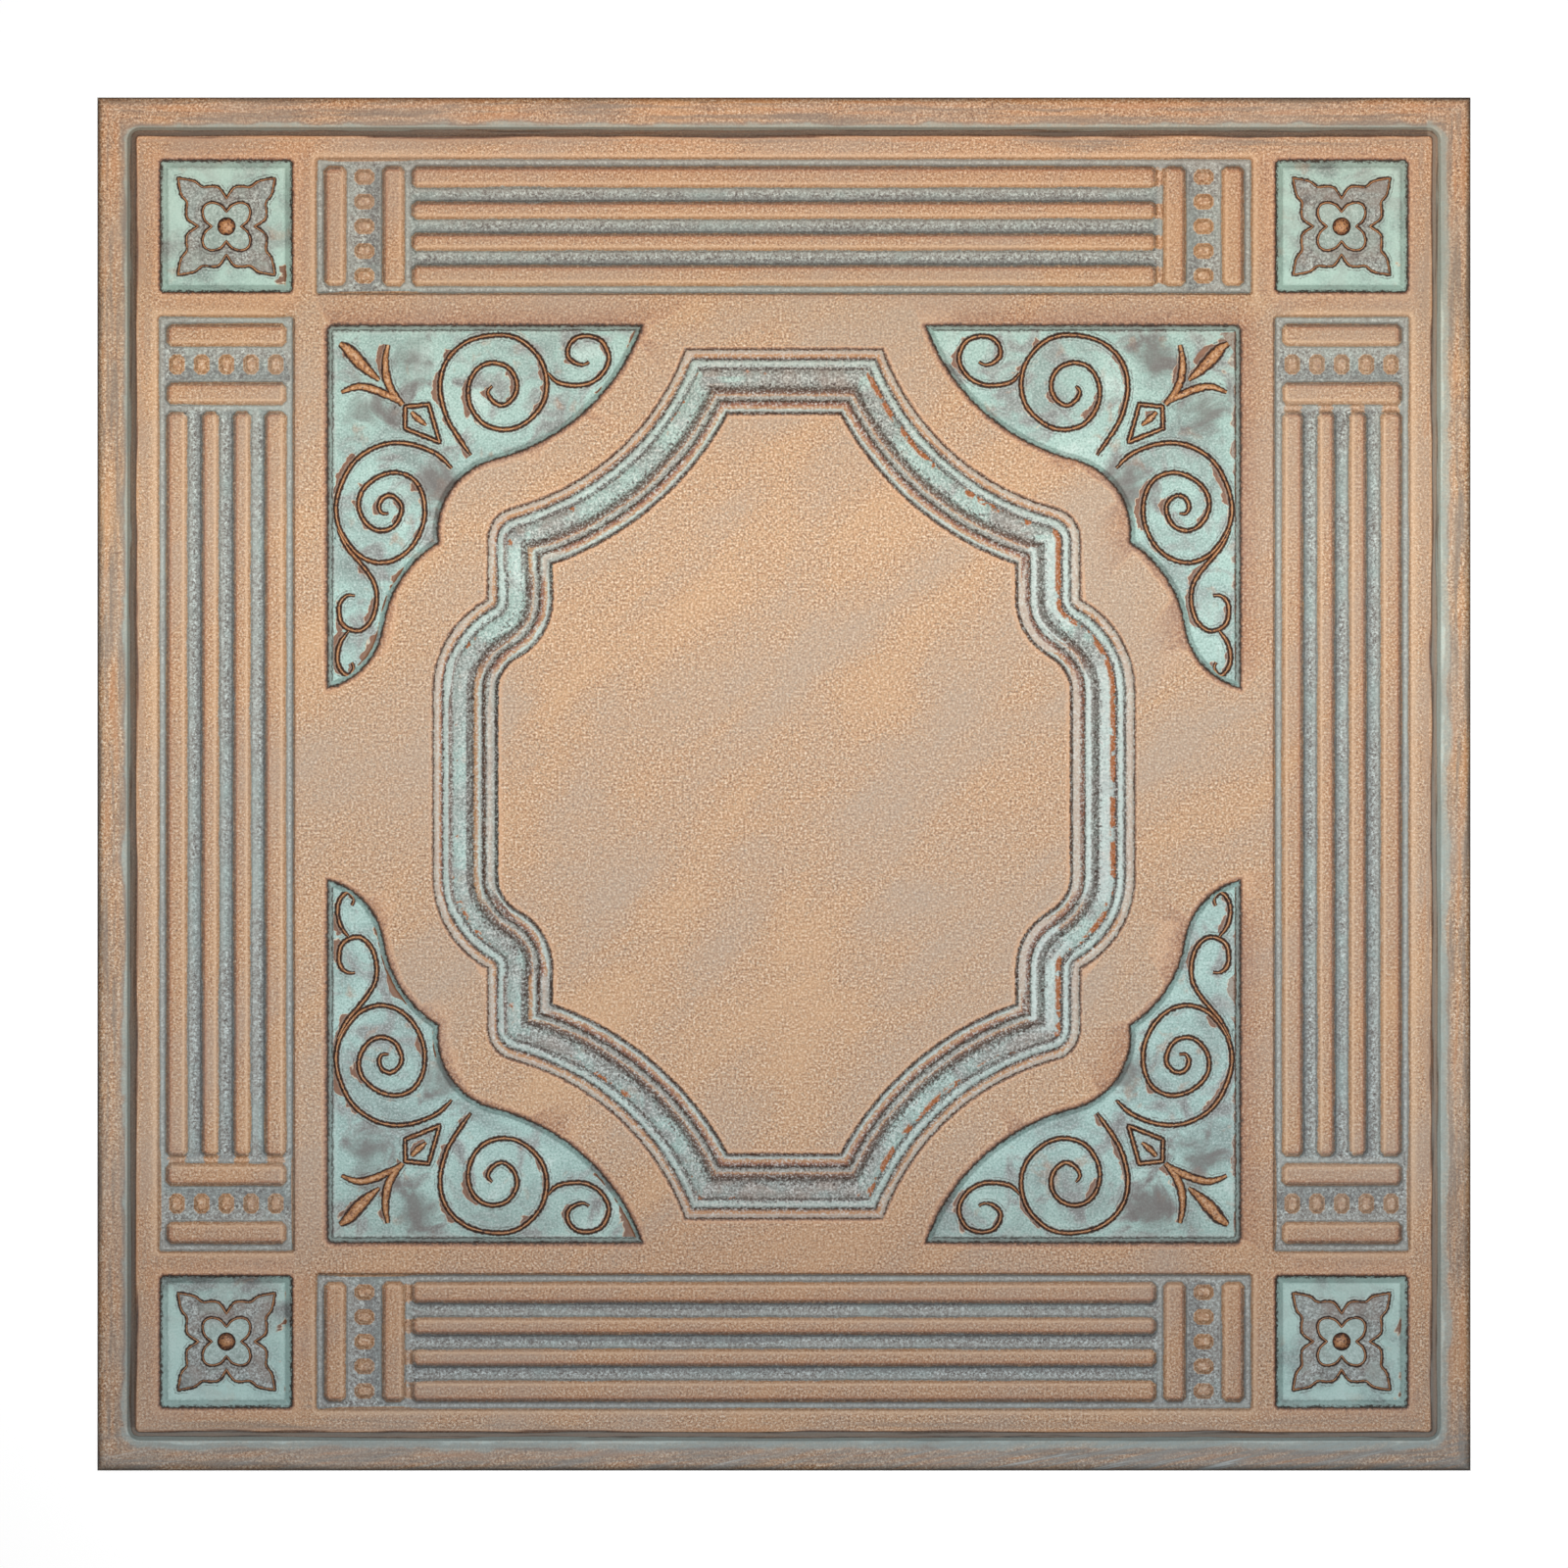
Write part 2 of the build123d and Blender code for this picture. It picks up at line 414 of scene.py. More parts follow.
def startPaint(name, roughness, attributes=()):
    material = bpy.data.materials.new(name)
    material.use_nodes = True
    tree = material.node_tree
    shader = tree.nodes["Principled BSDF"]
    shader.inputs["Roughness"].default_value = roughness
    shader.inputs["Specular IOR Level"].default_value = 0.3
    made = {given: addNode(tree, "Attribute", out="Fac", attribute_name=given) for given in attributes}
    place = made["place"] = addNode(tree, "TexCoord", out="Object")
    axes = addNode(tree, "SeparateXYZ", {"Vector": place}).node.outputs
    for axis, socket in zip("xyz", axes):
        made[axis] = addNode(tree, "Math", {0: socket, 1: 1 / mm}, operation="MULTIPLY")
    made["sizeX"] = addNode(tree, "Math", {0: made["x"]}, operation="ABSOLUTE")
    made["sizeY"] = addNode(tree, "Math", {0: made["y"]}, operation="ABSOLUTE")
    inner = addNode(tree, "Math", {0: made["sizeX"], 1: made["sizeY"]}, operation="MINIMUM")
    start = sheet["rosetteFrom"]
    made["rosette"] = addNode(tree, "MapRange", {"Value": inner, "From Min": start, "From Max": start + 2})
    for mottle, (size, detail, rough, bend) in mottles.items():
        vector = place
        if mottle in brushed:
            alongX, alongY, turn = brushed[mottle]
            turned = (0, 0, math.radians(turn))
            links = {"Vector": place, "Rotation": turned, "Scale": (alongX, alongY, 1)}
            vector = addNode(tree, "Mapping", links, vector_type="TEXTURE")
        links = {"Vector": vector, "Scale": 1 / (size * mm), "Detail": detail, "Roughness": rough}
        noise = addNode(tree, "TexNoise", {**links, "Distortion": bend})
        made[mottle] = addNode(tree, "Math", {0: noise, 1: 0.5}, operation="SUBTRACT")
    return material, tree, shader, made


def addBases(tree, made):
    # Grained copper, verdigris with grey smudges, and grey patina
    bands = [(-0.2, "#6E4429", 1), (-0.06, "#B78860", 1), (0.04, "#D4AB82", 1), (0.18, "#FFEBD0", 1)]
    copper = bandsOver(tree, linear("#BC8E64"), made["grain"], bands)
    copper = coat(tree, copper, made["fine"], 0.06, 0.2, "#A39F8C", 0.55)
    copper = coat(tree, copper, made["cloud"], -0.06, 0.16, "#B5A695", 0.5)
    made["copper"] = coat(tree, copper, made["cloud"], -0.04, -0.2, "#DDAF80", 0.45)

    bands = [
        (-0.22, "#84928C", 1),
        (-0.1, "#9DB5AD", 1),
        (0.0, "#A8C8BE", 1),
        (0.1, "#B3D3C8", 1),
        (0.22, "#CFE5DC", 1),
    ]
    verdigris = bandsOver(tree, linear("#A8C8BE"), made["smear"], bands)
    verdigris = coat(tree, verdigris, made["smudge"], 0.01, 0.12, "#9A9894", 0.75)
    verdigris = coat(tree, verdigris, made["smudge"], 0.1, 0.2, "#6C6765", 0.65)
    verdigris = coat(tree, verdigris, made["patch"], -0.12, -0.22, "#B99379", 0.6)
    verdigris = coat(tree, verdigris, made["grain"], 0.0, -0.2, "#5F736C", 0.55)
    made["verdigris"] = coat(tree, verdigris, made["grain"], 0.02, 0.2, "#E6F4EE", 0.5)

    bands = [(-0.2, "#453D38", 1), (-0.07, "#858079", 1), (0.06, "#ABB2AB", 1), (0.2, "#E2EAE4", 1)]
    patina = bandsOver(tree, linear("#86807A"), made["grain"], bands)
    made["patina"] = coat(tree, patina, made["smear"], -0.02, 0.16, "#A3BAB4", 0.5)


def floorPaint(tree, made):
    # Cleanest in the rosettes, dirtiest in the open bays of the spandrels
    cleaner = coat(tree, made["verdigris"], made["smear"], -0.14, 0.06, "#C2E2D6", 0.65)
    floor = coat(tree, made["verdigris"], made["rosette"], 0, 1, cleaner)
    folded = addNode(tree, "VectorMath", {0: made["place"]}, operation="ABSOLUTE")
    cornerX, cornerY = sheet["spandrelCorner"]
    begins, full = sheet["bayDirt"]
    ragged = -sheet["bayRagged"] * mm
    for u, v in sheet["bays"]:
        middle = ((cornerX - u) * mm, (cornerY - v) * mm, sheet["spandrelFloor"] * mm)
        away = addNode(tree, "VectorMath", {0: folded, 1: middle}, "Value", operation="DISTANCE")
        reach = addNode(tree, "Math", {0: made["smudge"], 1: ragged, 2: away}, operation="MULTIPLY_ADD")
        floor = coat(tree, floor, reach, begins * mm, full * mm, "#6F6863", 0.75)
    return floor


def flutePaint(tree, made):
    # Grey patina in the grooves, worn copper on the bars; painted shade on the sides that face away from
    # the lamp at the middle, and a painted highlight on those that face it
    facing = addNode(tree, "Math", {0: made["speck"], 1: 1.6, 2: made["lit"]}, operation="MULTIPLY_ADD")
    # Painted shade on groove sides that face away from the lamp at the middle, painted highlight on those
    # that face it
    groove = coat(tree, made["patina"], facing, -0.1, -0.7, "#6E706F", 0.55)
    groove = coat(tree, groove, facing, 0.25, 0.8, "#A8A69D", 0.4)
    narrow = sheet["copperFrom"]["groove"]  # the narrow border grooves are paler
    groove = coat(tree, groove, made["start"], narrow + 0.2, narrow, "#B7B7AE", 0.35)
    edge = addNode(tree, "Math", {0: made["speck"], 1: 2.0, 2: made["edge"]}, operation="MULTIPLY_ADD")
    out = addNode(tree, "Math", {0: made["sizeX"], 1: made["sizeY"]}, operation="MAXIMUM")
    out = addNode(tree, "Math", {0: out, 1: sheet["borderCentre"]}, operation="SUBTRACT")
    out = addNode(tree, "Math", {0: out}, operation="ABSOLUTE")
    half = sheet["fluteHalfWidth"]
    links = {"Value": out, "From Min": half + 0.4, "From Max": half - 0.8, "To Min": 0.35}
    inBed = addNode(tree, "MapRange", links)
    # Painted shade, partly a reddish glaze, on bar edges that face away from the lamp, and a painted
    # highlight on those that face it
    outer = addNode(tree, "MapRange", {"Value": made["lit"], "From Min": -0.15, "From Max": -0.7})
    outer = addNode(tree, "Math", {0: outer, 1: inBed}, operation="MULTIPLY")
    inner = addNode(tree, "MapRange", {"Value": made["lit"], "From Min": 0.15, "From Max": 0.7})
    red, dark, pale = "#A9603C", "#5F5550", "#EDC79F"
    bands = [(-2.4, red, 0), (-0.9, red, 0.4), (-0.1, "#7C5040", 0.7), (0.35, dark, 0.7), (0.8, dark, 0)]
    bar = coat(tree, made["copper"], inBed, 0.4, 1, "#B2805A", 0.18)
    bar = bandsOver(tree, bar, edge, bands, outer)
    bands = [(-2.4, pale, 0), (-1.0, pale, 0.6), (0.2, "#B98F6B", 0.4), (1, pale, 0)]
    bar = bandsOver(tree, bar, edge, bands, inner)
    level = addNode(tree, "Math", {0: made["speck"], 1: 1.6, 2: made["z"]}, operation="MULTIPLY_ADD")
    level = addNode(tree, "Math", {0: made["smear"], 1: 3.2, 2: level}, operation="MULTIPLY_ADD")
    # More copper towards two opposite corners, where it fills the gaps past the ends of the bars
    along = addNode(tree, "Math", {0: made["sizeX"], 1: made["sizeY"]}, operation="MINIMUM")
    along = addNode(tree, "Math", {0: made["speck"], 1: 5.0, 2: along}, operation="MULTIPLY_ADD")
    inGap = addNode(tree, "Math", {0: along, 1: sheet["gap"], 2: 2.8}, operation="COMPARE")
    out = addNode(tree, "Math", {0: made["speck"], 1: 5.0, 2: out}, operation="MULTIPLY_ADD")
    diagonal = addNode(tree, "Math", {0: made["x"], 1: made["y"]}, operation="ADD")
    diagonal = addNode(tree, "Math", {0: diagonal}, operation="ABSOLUTE")
    links = {"Value": diagonal, "From Min": 200, "From Max": 300, "To Max": 1.6}
    filled = addNode(tree, "MapRange", links)
    filled = addNode(tree, "Math", {0: filled, 1: inGap}, operation="MULTIPLY")
    for row, halfBar in sheet["barRows"]:
        inRow = addNode(tree, "Math", {0: out, 1: row, 2: halfBar}, operation="COMPARE")
        level = addNode(tree, "Math", {0: filled, 1: inRow, 2: level}, operation="MULTIPLY_ADD")
    above = addNode(tree, "Math", {0: level, 1: made["start"]}, operation="SUBTRACT")
    return coat(tree, groove, above, 0.0, 0.4, bar)


def addFlakes(tree, made, below, amount):
    # Bare brown flakes with a pale edge, where the verdigris has come off
    pale, brown = "#E8D0B2", "#7E4E31"
    bands = [(0.17, pale, 0), (0.185, pale, 0.8), (0.205, brown, 0.95), (0.4, "#96643F", 0.95)]
    mask = addNode(tree, "Math", {0: amount, 1: 0.24, 2: made["patch"]}, operation="MULTIPLY_ADD")
    bandCover = addNode(tree, "MapRange", {"Value": amount, "From Max": 0.15})
    return bandsOver(tree, below, mask, bands, bandCover)


def hollowPaint(tree, made):
    # Verdigris on the floors of rosettes and spandrels, and at the rim and the foot of the wall a dark
    # glaze that is partly painted shade, with a painted highlight on the face by the rim
    nearWall = addNode(tree, "MapRange", {"Value": made["edge"], "From Min": 5.5, "From Max": 2.4})
    onFloor = addNode(tree, "MapRange", {"Value": made["edge"], "From Min": 1.6, "From Max": 2.2})
    facesLeft = addNode(tree, "MapRange", {"Value": made["side"], "From Min": 0.6, "From Max": 0.95})
    amount = addNode(tree, "Math", {0: nearWall, 1: onFloor}, operation="MULTIPLY")
    amount = addNode(tree, "Math", {0: amount, 1: facesLeft}, operation="MULTIPLY")
    whole = addNode(tree, "MapRange", {"Value": made["rosette"], "To Min": 1.0, "To Max": 0.4})
    amount = addNode(tree, "Math", {0: amount, 1: whole}, operation="MULTIPLY")
    floor = addFlakes(tree, made, floorPaint(tree, made), amount)
    face = sheet["face"]
    hollow = coat(tree, made["copper"], made["z"], face - 0.05, face - 0.4, floor)
    edge = addNode(tree, "Math", {0: made["broken"], 1: 1.0, 2: made["edge"]}, operation="MULTIPLY_ADD")
    ragged = addNode(tree, "Math", {0: made["speck"], 1: 2.6, 2: edge}, operation="MULTIPLY_ADD")
    # The wall bands are laid mostly on walls that face the lamp at the middle
    facing = addNode(tree, "Math", {0: made["broken"], 1: 3.0, 2: made["lit"]}, operation="MULTIPLY_ADD")
    bandCover = addNode(tree, "MapRange", {"Value": facing, "From Min": -0.3, "From Max": 0.5, "To Min": 0.15})
    clean = addNode(tree, "MapRange", {"Value": made["rosette"], "To Min": 1.0, "To Max": 0.35})
    bandCover = addNode(tree, "Math", {0: bandCover, 1: clean}, operation="MULTIPLY")
    hollow = bandsOver(tree, hollow, ragged, wallBands, bandCover)
    return bandsOver(tree, hollow, ragged, rimBands)  # last, over the foot of the wall in narrow corners


def mouldingPaint(tree, made):
    # The paint changes from step to step across the moulding, and from side to side of the tile
    across = addNode(tree, "Math", {0: made["broken"], 1: 0.7, 2: made["across"]}, operation="MULTIPLY_ADD")
    across = addNode(tree, "Math", {0: made["speck"], 1: 1.8, 2: across}, operation="MULTIPLY_ADD")
    width = sheet["mouldingWidth"]
    started = addNode(tree, "MapRange", {"Value": across, "From Max": 0.4})
    ended = addNode(tree, "MapRange", {"Value": across, "From Min": width + 0.1, "From Max": width - 0.3})
    within = addNode(tree, "Math", {0: started, 1: ended}, operation="MULTIPLY")
    greyer = coat(tree, made["verdigris"], made["smear"], 0.06, -0.14, made["patina"], 0.7)
    pinkish = coat(tree, made["patina"], made["smudge"], 0.0, 0.15, "#A58F80", 0.6)
    greyer = coat(tree, greyer, made["ends"], 0.88, 0.97, pinkish)
    channel = coat(tree, made["copper"], within, 0, 1, greyer)
    links = {"Value": made["grain"], "From Min": -0.02, "From Max": 0.14, "To Min": 1.0, "To Max": 0.5}
    bandCover = addNode(tree, "MapRange", links)
    left = bandsOver(tree, channel, across, leftBands, bandCover)
    right = bandsOver(tree, channel, across, rightBands, bandCover)
    ends = bandsOver(tree, channel, across, endBands, bandCover)
    colour = coat(tree, left, made["side"], 0.0, 0.2, right)
    colour = coat(tree, colour, made["ends"], 0.3, 0.5, ends)
    links = {"Value": made["side"], "From Min": 0.2, "From Max": 1.0, "To Min": -0.06, "To Max": 0.12}
    facesLeft = addNode(tree, "MapRange", links)
    bare = addNode(tree, "Math", {0: made["broken"], 1: -0.7, 2: facesLeft}, operation="MULTIPLY_ADD")
    bare = addNode(tree, "Math", {0: made["patch"], 1: -0.7, 2: bare}, operation="MULTIPLY_ADD")
    bare = addNode(tree, "MapRange", {"Value": bare, "From Min": 0.05, "From Max": 0.08})
    colour = bandsOver(tree, colour, across, coveFlakes, bare)
    specks = addNode(tree, "MapRange", {"Value": made["speck"], "From Min": -0.01, "From Max": -0.12})
    colour = bandsOver(tree, colour, made["across"], speckBands, specks)
    grain = addNode(tree, "Math", {0: made["grain"], 1: within}, operation="MULTIPLY")
    colour = coat(tree, colour, grain, -0.02, -0.2, "#5A453B", 0.32)
    return coat(tree, colour, grain, 0.02, 0.2, "#F3E9DE", 0.45)


def stepPaint(tree, made):
    # Dark glaze and painted shade on the wall, which faces away from the lamp; grey in the corner below it,
    # brush strokes along the flange
    sideways = addNode(tree, "Math", {0: made["sizeX"], 1: made["sizeY"]}, operation="SUBTRACT")
    strokes = coat(tree, made["strokesX"], sideways, -3, 3, made["strokesY"])
    flange = coat(tree, made["copper"], strokes, -0.04, 0.14, "#877B6E", 0.7)
    flange = coat(tree, flange, strokes, -0.06, -0.18, "#C58B5C", 0.55)
    # Grey, slanting strokes on the bottom flange, most of them towards its right end
    links = {"Value": made["x"], "From Min": -260, "From Max": 200, "To Min": 0.4}
    toRight = addNode(tree, "MapRange", links)
    begins = -sheet["sweptFrom"]
    atBottom = addNode(tree, "MapRange", {"Value": made["y"], "From Min": begins, "From Max": begins - 2})
    grey = addNode(tree, "Math", {0: toRight, 1: atBottom}, operation="MULTIPLY")
    swept = coat(tree, flange, made["sweeps"], 0.12, -0.1, "#8B8F8A", 0.75)
    swept = coat(tree, swept, made["sweeps"], -0.1, -0.2, "#C3CAC4", 0.7)
    flange = coat(tree, flange, grey, 0, 1, swept)
    outer = addNode(tree, "Math", {0: made["sizeX"], 1: made["sizeY"]}, operation="MAXIMUM")
    flange = coat(tree, flange, outer, sheet["tileHalf"] - 0.6, sheet["tileHalf"], "#5A4A40", 0.5)
    edge = addNode(tree, "Math", {0: strokes, 1: 4.0, 2: made["edge"]}, operation="MULTIPLY_ADD")
    links = {"Value": made["edge"], "From Min": 4.0, "From Max": 6.0, "To Max": 9.0}
    onFlange = addNode(tree, "MapRange", links)
    edge = addNode(tree, "Math", {0: made["smear"], 1: onFlange, 2: edge}, operation="MULTIPLY_ADD")
    links = {"Value": made["speck"], "From Min": -0.2, "From Max": 0.1, "To Min": 1.0, "To Max": 0.75}
    bandCover = addNode(tree, "MapRange", links)
    dark = bandsOver(tree, flange, edge, stepBands, bandCover)
    pale = bandsOver(tree, flange, edge, paleStepBands, bandCover)
    start = sheet["paleFrom"]
    colour = coat(tree, dark, made["y"], -start, -start - 1, pale)
    return coat(tree, colour, made["x"], start, start + 1, pale)


def sheetPaint():
    # Hand-brushed copper paint on PVC: satin and grained, with verdigris and dark glaze left in the
    # hollows; painted shade and highlights at rims and walls, and painted shade darker towards the bottom
    material, tree, shader, made = startPaint("brushedCopperPaint", 0.55, sheetLayers)
    addBases(tree, made)
    regions = {"flutes": flutePaint, "hollow": hollowPaint, "moulding": mouldingPaint, "step": stepPaint}
    colour = made["copper"]
    for region, regionPaint in regions.items():
        colour = coat(tree, colour, made[region], 0, 1, regionPaint(tree, made))
    # Painted shade, darker towards the bottom, with a tint of the finish
    colour = bandsOver(tree, colour, made["y"], bottomShadeAndTint, blend="MULTIPLY")
    tree.links.new(colour, shader.inputs["Base Color"])
    bump = addNode(tree, "Bump", {"Strength": 0.25, "Distance": 0.3 * mm, "Height": made["grain"]})
    tree.links.new(bump, shader.inputs["Normal"])
    return material


def bareSheet():
    # Unpainted PVC on the back: plain, warm grey, half matt
    material = bpy.data.materials.new("barePvc")
    material.use_nodes = True
    shader = material.node_tree.nodes["Principled BSDF"]
    shader.inputs["Base Color"].default_value = linear("#A39D94")
    shader.inputs["Roughness"].default_value = 0.5
    return material


def reliefPaint():
    # The same paint on the relief: copper rubbed bare on the crests, dark glaze and painted shade beside
    # them
    material, tree, shader, made = startPaint("wornCopperRelief", 0.5, reliefLayers)
    addBases(tree, made)
    plate = coat(tree, made["patina"], made["smudge"], -0.02, 0.12, "#8F7F73", 0.6)
    plate = coat(tree, plate, made["patch"], 0.08, 0.2, "#574E47", 0.7)
    plate = coat(tree, plate, made["smear"], -0.02, -0.16, "#A5B5AB", 0.8)
    ground = addFlakes(tree, made, floorPaint(tree, made), made["flake"])
    colour = coat(tree, ground, made["plate"], 0, 1, plate)
    off = addNode(tree, "Math", {0: made["speck"], 1: 1.8, 2: made["off"]}, operation="MULTIPLY_ADD")
    off = addNode(tree, "Math", {0: made["broken"], 1: 0.6, 2: off}, operation="MULTIPLY_ADD")
    links = {"Value": made["broken"], "From Min": -0.05, "From Max": 0.05, "To Min": 0.1}
    bandCover = addNode(tree, "MapRange", links)
    colour = bandsOver(tree, colour, off, traceBands, bandCover)
    colour = bandsOver(tree, colour, off, ridgeBands)
    crest = addNode(tree, "MapRange", {"Value": off, "From Min": -0.6, "From Max": -0.8})
    rubbed = addNode(tree, "Math", {0: crest, 1: made["speck"]}, operation="MULTIPLY")
    colour = coat(tree, colour, rubbed, 0.02, 0.16, "#F0CDA8", 0.8)
    colour = coat(tree, colour, rubbed, 0.0, -0.14, "#74452C", 0.85)
    # Painted shade, darker towards the bottom, with a tint of the finish
    colour = bandsOver(tree, colour, made["y"], bottomShadeAndTint, blend="MULTIPLY")
    tree.links.new(colour, shader.inputs["Base Color"])
    return material


# Sheet: the CAD solid with its edges softened


def frontEdges(bm, test):
    # Sharp edges of the front that the test takes
    found = []
    for edge in bm.edges:
        if len(edge.link_faces) != 2 or min(f.normal.z for f in edge.link_faces) < sheet["upward"]:
            continue
        if edge.calc_face_angle(0) > math.radians(sheet["crease"]) and test(edge):
            found.append(edge)
    return found


def isRim(edge):
    return all(abs(v.co.z / mm - sheet["face"]) < 0.01 for v in edge.verts)


def middleOf(edge):
    return (edge.verts[0].co + edge.verts[1].co) / (2 * mm)


def inPanel(point):
    # Whether a point is well inside a fluted panel
    longWay = sheet["fluteHalfLength"] - sheet["wellInside"]
    shortWay = sheet["fluteHalfWidth"] - sheet["wellInside"]
    ax, ay = abs(point.x), abs(point.y)
    return any(
        along < longWay and abs(side - sheet["borderCentre"]) < shortWay
        for along, side in ((ax, ay), (ay, ax))
    )


def isBarTop(edge):
    return isRim(edge) and inPanel(middleOf(edge))


def copperFrom(x, y, z):
    # Height from which copper covers the grey in the fluted panels; beads are copper down to their feet
    for along, side in ((abs(x), abs(y)), (abs(y), abs(x))):
        out = abs(side - sheet["borderCentre"])
        if out < sheet["fluteHalfWidth"] and abs(along - sheet["beadRow"]) < sheet["beadReach"]:
            return sheet["fluteFloor"] - 2 if z > sheet["fluteFloor"] + 0.04 else sheet["face"]
        if out < sheet["outerBars"] and along < sheet["barsEnd"]:
            return sheet["copperFrom"]["flute"]
    return sheet["copperFrom"]["groove"]


def rimPoints(edges):
    # Points along the rims, and which way the wall falls at each
    points, falls = [], []
    for edge in edges:
        start, end = (v.co / mm for v in edge.verts)
        wall = min((f.normal for f in edge.link_faces), key=lambda normal: normal.z)
        count = max(1, int((end - start).length / sheet["rimStep"]))
        points += [start.lerp(end, i / count) for i in range(count + 1)]
        falls += [Vector((wall.x, wall.y)).normalized()] * (count + 1)
    tree = KDTree(len(points))
    for index, point in enumerate(points):
        tree.insert((point.x, point.y, 0), index)
    tree.balance()
    return tree, falls


def outerLoop(edges):
    # The loop that reaches furthest out, its edges in the order given so that every run paints alike
    left = set(edges)
    loops = []
    while left:
        waiting = [left.pop()]
        loop = []
        while waiting:
            edge = waiting.pop()
            loop.append(edge)
            for vert in edge.verts:
                for other in vert.link_edges:
                    if other in left:
                        left.remove(other)
                        waiting.append(other)
        loops.append(loop)
    furthest = set(max(loops, key=lambda loop: max(abs(v.co.x) for e in loop for v in e.verts)))
    return [e for e in edges if e in furthest]


def cutFaces(bm):
    # Rings round the edges of the flat faces, then cuts on a grid, so that no face is long and thin
    flats = [f for f in bm.faces if f.normal.z > 0.9999]
    rings = sheet["rings"]
    levels = [
        (sheet["face"], rings["face"]),
        (sheet["face"], rings["wide"]),
        (sheet["rosetteFloor"], rings["floor"]),
        (sheet["spandrelFloor"], rings["floor"]),
        (sheet["flange"], rings["flange"]),
    ]
    ringed = {"use_even_offset": True, "use_boundary": True}
    for level, insets in levels:
        faces = [f for f in flats if f.is_valid and all(abs(v.co.z / mm - level) < 0.02 for v in f.verts)]
        if insets is rings["wide"]:
            faces = [f for f in faces if not inPanel(f.calc_center_median() / mm)]
        for inset in insets:
            bmesh.ops.inset_region(bm, faces=faces, thickness=inset * mm, **ringed)
            inner = list(dict.fromkeys(v for f in faces for v in f.verts))
            bmesh.ops.remove_doubles(bm, verts=inner, dist=sheet["merge"] * mm)
            faces = [f for f in faces if f.is_valid]
    cuts = int(sheet["panelHalf"] / sheet["grid"])
    for way in (Vector((1, 0, 0)), Vector((0, 1, 0))):
        for number in range(-cuts, cuts + 1):
            front = [f for f in bm.faces if f.normal.z > sheet["upward"]]
            geometry = list(dict.fromkeys(part for f in front for part in (*f.verts, *f.edges))) + front
            spot = way * (number + sheet["gridShift"]) * sheet["grid"] * mm
            bmesh.ops.bisect_plane(bm, geom=geometry, plane_co=spot, plane_no=way, dist=1e-6)


def markSheet(bm, rimTree, rimFalls, outerTree, outerFalls):
    # What the paint follows: the region, the distance from the rim, and which way the wall there faces,
    # also towards the lamp at the middle, for painted shade and highlights
    layers = {name: bm.verts.layers.float.new(name) for name in sheetLayers}
    for vert in bm.verts:
        x, y, z = vert.co / mm
        region = regionAt(x, y)
        onFace = z > sheet["face"] - sheet["onFace"]
        _, index, distance = rimTree.find((x, y, 0))
        fall = rimFalls[index]
        if region == "rosette":
            distance *= sheet["rosetteHalo"] if onFace else sheet["rosetteWall"]
        vert[layers["across"]] = sheet["noMoulding"]
        if region == "moulding":
            _, index, beyond = outerTree.find((x, y, 0))
            fall = outerFalls[index]
            outside = onFace and beyond < sheet["mouldingWidth"] / 2
            vert[layers["across"]] = -beyond if outside else beyond
        vert[layers["edge"]] = -distance if onFace else distance
        vert[layers["lit"]] = -fall.dot(Vector((x, y)).normalized())
        vert[layers["side"]] = -fall.x
        vert[layers["ends"]] = abs(fall.y)
        vert[layers["start"]] = copperFrom(x, y, z)
        vert[layers["hollow" if region in ("rosette", "spandrel") else region]] = 1.0


def buildSheet():
    bm = bmesh.new()
    bm.from_mesh(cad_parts["ceiling_tile"].data)
    bmesh.ops.remove_doubles(bm, verts=bm.verts, dist=1e-6)
    bmesh.ops.dissolve_limit(bm, angle_limit=math.radians(0.5), verts=bm.verts, edges=bm.edges)
    bm.normal_update()
    rims = frontEdges(bm, isRim)
    mouldingRims = [e for e in rims if regionAt(middleOf(e).x, middleOf(e).y) == "moulding"]
    marks = (*rimPoints(rims), *rimPoints(outerLoop(mouldingRims)))
    print("sheet rims", len(rims), len(mouldingRims))

    bevel = {"affect": "EDGES", "offset_type": "OFFSET", "profile": 0.5, "material": -1}
    bevel["clamp_overlap"] = False
    barTops = frontEdges(bm, isBarTop)
    bmesh.ops.bevel(bm, geom=barTops, offset=sheet["barRound"] * mm, segments=3, **bevel)
    bm.normal_update()
    rest = frontEdges(bm, lambda edge: True)
    bmesh.ops.bevel(bm, geom=rest, offset=sheet["edgeRound"] * mm, segments=2, **bevel)
    bm.normal_update()
    cutFaces(bm)
    bm.normal_update()
    markSheet(bm, *marks)
    for face in bm.faces:
        face.smooth = True
        face.material_index = int(face.normal.z < -0.01)
    mesh = bpy.data.meshes.new("tile_sheet")
    bm.to_mesh(mesh)
    bm.free()
    tile = bpy.data.objects.new("tile_sheet", mesh)
    bpy.context.scene.collection.objects.link(tile)
    normals = tile.modifiers.new("EvenFaces", "WEIGHTED_NORMAL")
    normals.weight = 100
    mesh.materials.append(sheetPaint())
    mesh.materials.append(bareSheet())
    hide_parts("ceiling_tile")
    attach(tile, "root")
    print("sheet built", len(mesh.polygons))


# Relief of the spandrels and rosettes

